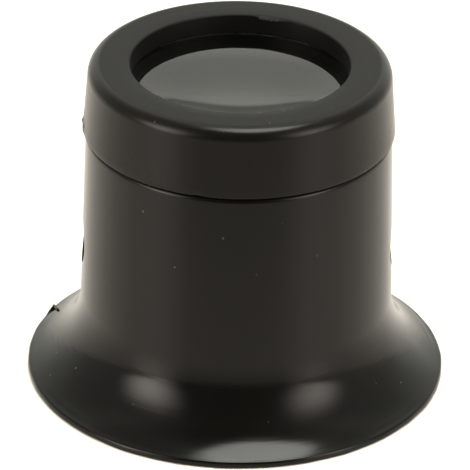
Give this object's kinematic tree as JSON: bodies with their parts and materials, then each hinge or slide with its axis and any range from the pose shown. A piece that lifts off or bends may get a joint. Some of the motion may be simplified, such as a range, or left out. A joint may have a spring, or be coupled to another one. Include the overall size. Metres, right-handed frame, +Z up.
{
  "type": "eye loupe",
  "caption": "Jeweller's eye loupe: flared black plastic eyecup with side vents, a screw cap and a double-convex magnifying lens, held in the eye socket for close work.",
  "frame": {"origin": "centre of the flat rim that the eyecup stands on", "axes": "+Z up along the optical axis, from the rim to the cap; +X and -X through the vents; -Y towards the picture's camera"},
  "size_m": [0.0382, 0.0382, 0.0306],
  "materials": {
    "eyecup_plastic": "moulded black, semi-gloss",
    "cap_plastic": "moulded black, satin",
    "lens_glass": "polished, uncoated",
    "spring_steel": "drawn wire"
  },
  "bodies": {
    "eyecup": {"eyecup_body": "eyecup_plastic"},
    "lens_in_cap": {"lens": "lens_glass"},
    "screw_cap": {"lens_cap": "cap_plastic", "lens_spring_ring": "spring_steel"}
  },
  "joints": [
    {"name": "cap_lift", "type": "slide", "parent": "eyecup", "child": "lens_in_cap", "axis": [0, 0, 1], "range_m": [0, 0.0015]},
    {"name": "cap_turn", "type": "hinge", "parent": "lens_in_cap", "child": "screw_cap", "pos_m": [0, 0, 0.027], "axis": [0, 0, 1], "range_deg": [0, 540]}
  ],
  "couplings": [
    {"joint": "cap_lift", "follows": "cap_turn", "m_per_rad": 0.00015915}
  ]
}
